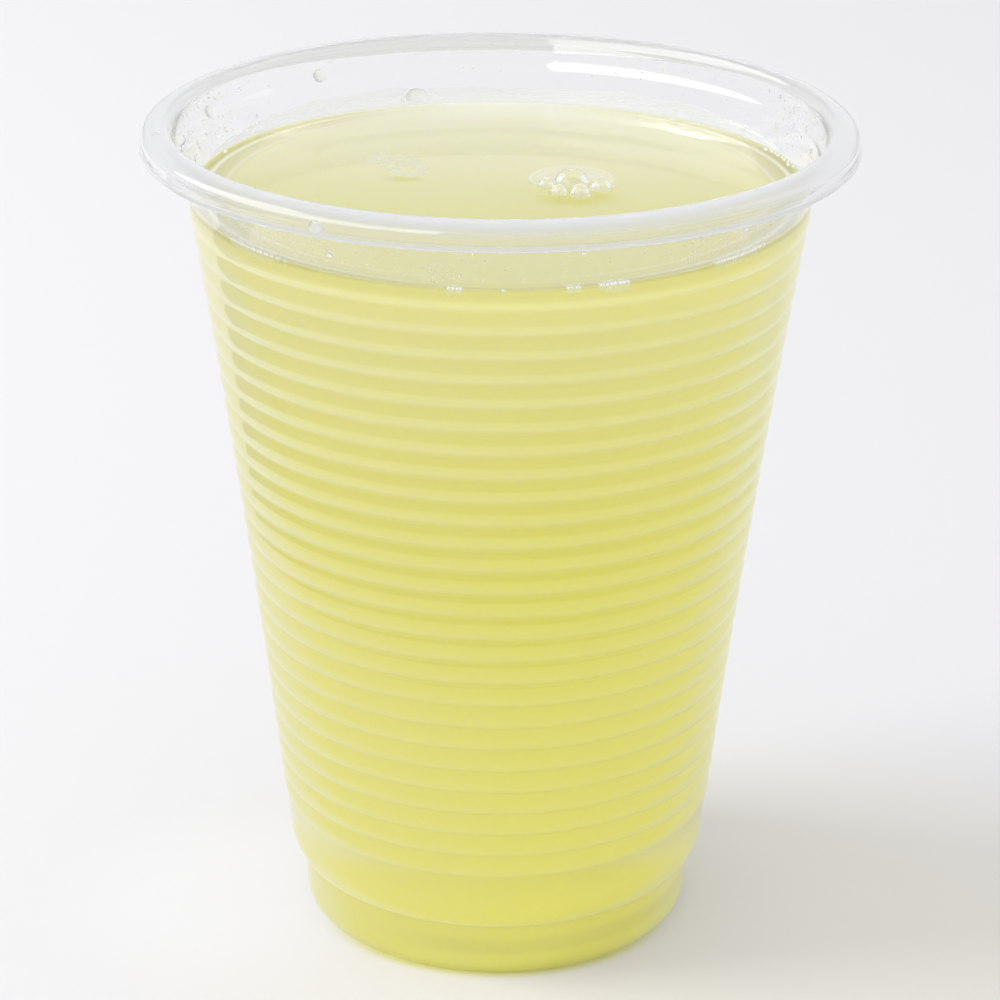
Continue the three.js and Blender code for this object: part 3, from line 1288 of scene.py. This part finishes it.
def lemonade():
    """Cloudy lemonade: light goes in, scatters on fine pulp and comes out pale yellow."""
    material, tree = new_material("cloudy_lemonade")
    place = add(tree, "ShaderNodeTexCoord")
    parts = add(tree, "ShaderNodeSeparateXYZ", {0: place.outputs["Object"]})
    facing = add(tree, "ShaderNodeSeparateXYZ", {0: place.outputs["Normal"]})
    on_top = add(
        tree,
        "ShaderNodeMapRange",
        over_span(facing.outputs["Z"], LEVEL_SPAN, unit=1.0),
    )
    side = side_colour(tree, parts)
    top = surface_colour(tree, place.outputs["Object"], parts)
    colour = add(tree, "ShaderNodeMix", {0: on_top, 6: side, 7: top}, data_type="RGBA")
    path = add(tree, "ShaderNodeLightPath")
    seen = add(
        tree,
        "ShaderNodeMix",
        {0: path.outputs["Is Diffuse Ray"], 6: colour, 7: linear(BOUNCE_TINT)},
        data_type="RGBA",
    )
    drink = add(
        tree,
        "ShaderNodeBsdfPrincipled",
        {
            "Base Color": seen,
            "Roughness": 0.02,
            "IOR": 1.34,
            "Subsurface Weight": 1.0,
            "Subsurface Radius": LIGHT_REACH,
            "Subsurface Scale": LIGHT_SCALE * MM,
        },
    )
    add(tree, "ShaderNodeOutputMaterial", {"Surface": drink})
    return material


def clear_drop(name, tint, cloud, roughness, fade):
    """A bead or film of water with a little of the drink in it: clear, with bright sharp edges."""
    material, tree = new_material(name)
    place = add(tree, "ShaderNodeTexCoord")
    drift = add(
        tree,
        "ShaderNodeTexNoise",
        {"Vector": place.outputs["Object"], "Scale": CLOUDS / MM, "Detail": 1.0},
    )
    haze = add(
        tree,
        "ShaderNodeMapRange",
        {"Value": drift, "To Min": -cloud * CLOUD_LEAST, "To Max": -cloud * CLOUD_MOST},
    )
    parts = add(tree, "ShaderNodeSeparateXYZ", {0: place.outputs["Object"]})
    below = add(
        tree,
        "ShaderNodeMapRange",
        over_span(parts.outputs["Z"], reversed(fade)),
        interpolation_type="SMOOTHSTEP",
    )
    clearness = add(tree, "ShaderNodeMath", {0: haze, 1: below, 2: 1.0}, operation="MULTIPLY_ADD")
    water = add(
        tree,
        "ShaderNodeBsdfPrincipled",
        {
            "Base Color": linear(tint),
            "Roughness": roughness,
            "IOR": 1.333,
            "Transmission Weight": clearness,
        },
    )
    clear_for_light(tree, water)
    return material


def froth():
    """Froth of fine bubbles: whitish and soft, with a wet gloss."""
    material, tree = new_material("lemonade_froth")
    place = add(tree, "ShaderNodeTexCoord")
    cells = add(
        tree,
        "ShaderNodeTexVoronoi",
        {"Vector": place.outputs["Object"], "Scale": FROTH_CELLS / MM},
    )
    pitted = add(
        tree,
        "ShaderNodeBump",
        {"Height": cells, "Strength": FROTH_CELL_STRENGTH, "Distance": FROTH_CELL_DEPTH * MM},
    )
    foam = add(
        tree,
        "ShaderNodeBsdfPrincipled",
        {"Base Color": linear(FROTH_TINT), "Roughness": 0.3, "IOR": 1.333, "Normal": pitted},
    )
    clear_for_light(tree, foam)
    return material


def pale_floor():
    """Pale floor with painted light and shade: warmer where the drink throws its light into the
    shadow, lighter at the left of the foot, and a yellowish shade in front of the foot.
    """
    material, tree = new_material("pale_floor")
    place = add(tree, "ShaderNodeTexCoord").outputs["Object"]
    parts = add(tree, "ShaderNodeSeparateXYZ", {0: place})
    colour = linear(FLOOR_TINT)
    # Painted warm light in the shadow, and painted light at the left of the foot
    for oval, tint in ((SHADOW_GLOW, SHADOW_TINT), (LEFT_FLOOR_LIGHT, LEFT_FLOOR_LIGHT_TINT)):
        colour = with_patch(tree, place, oval, FLOOR_CORE, 1.0, colour, tint)
    # Painted yellowish shade in front of the foot
    ring = over_span(from_axis(tree, parts), FOOT_SHADE_RING, FOOT_SHADE_MOST)
    near_foot = add(tree, "ShaderNodeMapRange", ring)
    before = add(tree, "ShaderNodeMapRange", over_span(parts.outputs["Y"], FOOT_FRONT))
    glow = add(tree, "ShaderNodeMath", {0: near_foot, 1: before}, operation="MULTIPLY")
    colour = add(tree, "ShaderNodeMix", {0: glow, 6: colour, 7: linear(FOOT_SHADE_TINT)}, data_type="RGBA")
    floor = add(
        tree,
        "ShaderNodeBsdfPrincipled",
        {"Base Color": colour, "Roughness": 0.6, "Specular IOR Level": 0.2},
    )
    add(tree, "ShaderNodeOutputMaterial", {"Surface": floor})
    return material


def make_floor():
    half = FLOOR_HALF
    corners = [(-half, -half, 0), (half, -half, 0), (half, half, 0), (-half, half, 0)]
    floor = new_piece("floor", corners, [(0, 1, 2, 3)])
    floor.data.materials.append(pale_floor())
    return floor


def arc_card(name, first_edge, second_edge, span, material):
    """A card bent round the cup, seen by reflections alone."""
    start, end = span
    points = []
    for step in range(CARD_STEPS + 1):
        direction = start + (end - start) * step / CARD_STEPS
        points += [on_circle(direction, *first_edge), on_circle(direction, *second_edge)]
    faces = [(2 * at, 2 * at + 1, 2 * at + 3, 2 * at + 2) for at in range(CARD_STEPS)]
    card = new_piece(name, points, faces)
    card.data.materials.append(material)
    card.visible_camera = False
    card.visible_diffuse = False
    card.visible_transmission = False
    card.visible_shadow = False


def matt_card():
    """Matt card, black at the left and in front and grey towards the right."""
    material, tree = new_material("shade_card")
    place = add(tree, "ShaderNodeTexCoord")
    parts = add(tree, "ShaderNodeSeparateXYZ", {0: place.outputs["Object"]})
    direction = add(
        tree,
        "ShaderNodeMath",
        {0: parts.outputs["Y"], 1: parts.outputs["X"]},
        operation="ARCTAN2",
    )
    share = add(
        tree,
        "ShaderNodeMath",
        {0: direction, 1: 0.5 / math.pi, 2: 0.5},
        operation="MULTIPLY_ADD",
    )
    greys = add(tree, "ShaderNodeValToRGB", {"Fac": share})
    put_stops(greys, grey_stops(CARD_GREYS, -HALF_TURN, HALF_TURN))
    card = add(tree, "ShaderNodeBsdfDiffuse", {"Color": greys})
    add(tree, "ShaderNodeOutputMaterial", {"Surface": card})
    return material


def window_glow(strength):
    material, tree = new_material("window_glow")
    glow = add(tree, "ShaderNodeEmission", {"Color": linear("#ffffff"), "Strength": strength})
    add(tree, "ShaderNodeOutputMaterial", {"Surface": glow})
    return material


def make_camera():
    camera = bpy.data.objects.new("camera", bpy.data.cameras.new("camera"))
    camera.data.lens = LENS
    camera.data.sensor_width = SENSOR
    camera.data.clip_start = NEAREST * MM
    yaw = Matrix.Rotation(math.radians(CAMERA_YAW), 4, "Z")
    pitch = Matrix.Rotation(math.radians(90 + CAMERA_PITCH), 4, "X")
    roll = Matrix.Rotation(math.radians(CAMERA_ROLL), 4, "Z")
    place = Matrix.Translation(Vector(CAMERA_PLACE) * MM)
    camera.matrix_world = place @ yaw @ pitch @ roll
    bpy.context.scene.collection.objects.link(camera)
    bpy.context.scene.camera = camera


def softbox(name, place, aim, size, power, tint):
    lamp = bpy.data.lights.new(name, "AREA")
    lamp.shape = "RECTANGLE"
    lamp.size, lamp.size_y = size
    lamp.energy = power
    lamp.color = linear(tint)[:3]
    box = bpy.data.objects.new(name, lamp)
    box.location = place
    box.rotation_euler = (Vector(aim) - Vector(place)).to_track_quat("-Z", "Y").to_euler()
    bpy.context.scene.collection.objects.link(box)
    return box


def make_lights(floor):
    """Room light all round, and a window's light at the left that falls on the floor alone."""
    world = bpy.data.worlds.new("bright_room")
    bpy.context.scene.world = world
    world.use_nodes = True
    world.cycles.sampling_method = "NONE"
    tree = world.node_tree
    tree.nodes.clear()
    room = add(
        tree,
        "ShaderNodeBackground",
        {"Color": linear(ROOM_TINT), "Strength": ROOM_STRENGTH},
    )
    add(tree, "ShaderNodeOutputWorld", {"Surface": room})
    key = softbox("window_left", KEY_PLACE, KEY_AIM, KEY_SIZE, KEY_POWER, KEY_TINT)
    lit = bpy.data.collections.new("lit_by_window")
    lit.objects.link(floor)
    key.light_linking.receiver_collection = lit


def set_render():
    scene = bpy.context.scene
    scene.view_settings.view_transform = "Standard"
    scene.view_settings.look = "None"
    scene.cycles.use_denoising = True
    scene.cycles.max_bounces = BOUNCES
    scene.cycles.glossy_bounces = BOUNCES
    scene.cycles.transmission_bounces = BOUNCES
    scene.cycles.transparent_max_bounces = BOUNCES


make_camera()
ground = make_floor()
make_lights(ground)
arc_card("shade_card", SHADE_INNER, SHADE_OUTER, SHADE_SPAN, matt_card())
arc_card("window_strip", WINDOW_LOW, WINDOW_HIGH, WINDOW_SPAN, window_glow(WINDOW_GLOW))
arc_card("window_right", WINDOW_LOW, WINDOW_HIGH, WINDOW_RIGHT_SPAN, window_glow(WINDOW_RIGHT_GLOW))
set_render()
make_cup(polypropylene())
make_drink(lemonade())
make_drops(clear_drop("clinging_water", *DROP_LOOK))
make_mist(clear_drop("condensed_mist", *MIST_LOOK))
make_bubbles(clear_drop("bubble_film", *BUBBLE_LOOK))
make_edge_bubbles(clear_drop("bubble_skin", *EDGE_BUBBLE_LOOK))
make_glints(clear_drop("bubble_glint", *GLINT_LOOK))
make_froth(froth())
make_wet_band(clear_drop("wet_film", *WET_LOOK))
